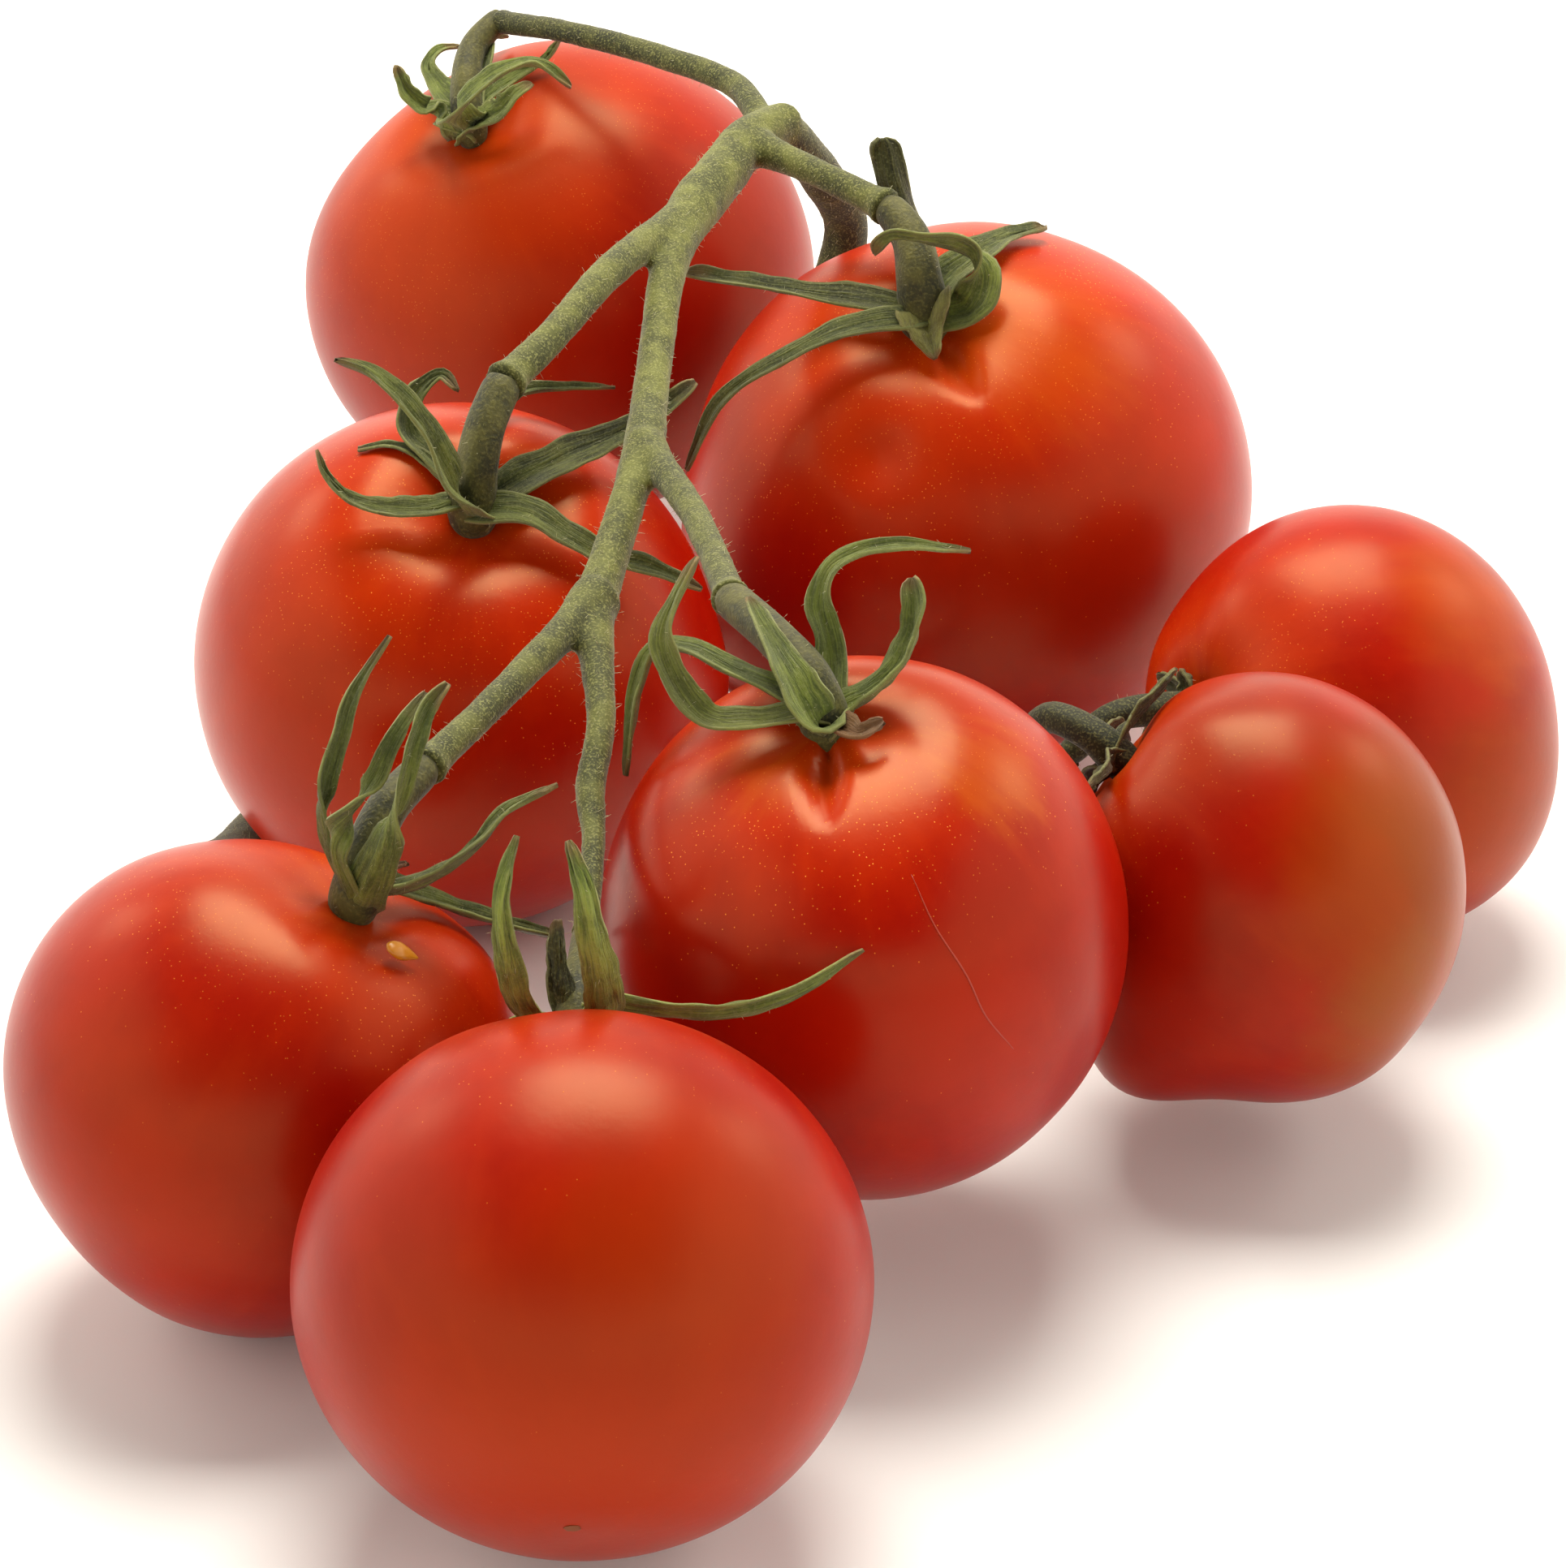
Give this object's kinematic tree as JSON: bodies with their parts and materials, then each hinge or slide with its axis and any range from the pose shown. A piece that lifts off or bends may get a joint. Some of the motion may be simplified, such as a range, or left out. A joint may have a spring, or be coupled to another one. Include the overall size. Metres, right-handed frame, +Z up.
{
  "type": "truss of tomatoes",
  "caption": "Truss of ripe red tomatoes on a green forked stem with star-shaped calyxes, lying on a surface with the stem arched over the fruits.",
  "frame": {"origin": "on the surface that the truss lies on, under the middle of its bounding box", "axes": "+Z up, +Y away from the smaller end of the truss towards its thick end, +X to the right of a reader who looks along +Y"},
  "size_m": [0.1766, 0.297, 0.0828],
  "materials": {
    "skin": "glossy taut fruit skin, orange-red, lighter round the stalk",
    "stem": "matt grey-green stem with short pale hairs",
    "sepal": "matt green leaf, brown at the tips"
  },
  "bodies": {
    "root": {"stem": "stem", "tomato_1": "skin", "tomato_2": "skin", "tomato_3": "skin", "tomato_4": "skin", "tomato_5": "skin", "tomato_6": "skin", "tomato_7": "skin", "tomato_8": "skin", "calyx_1": "sepal", "calyx_2": "sepal", "calyx_3": "sepal", "calyx_4": "sepal", "calyx_5": "sepal", "calyx_6": "sepal", "calyx_7": "sepal", "calyx_8": "sepal"}
  },
  "joints": []
}
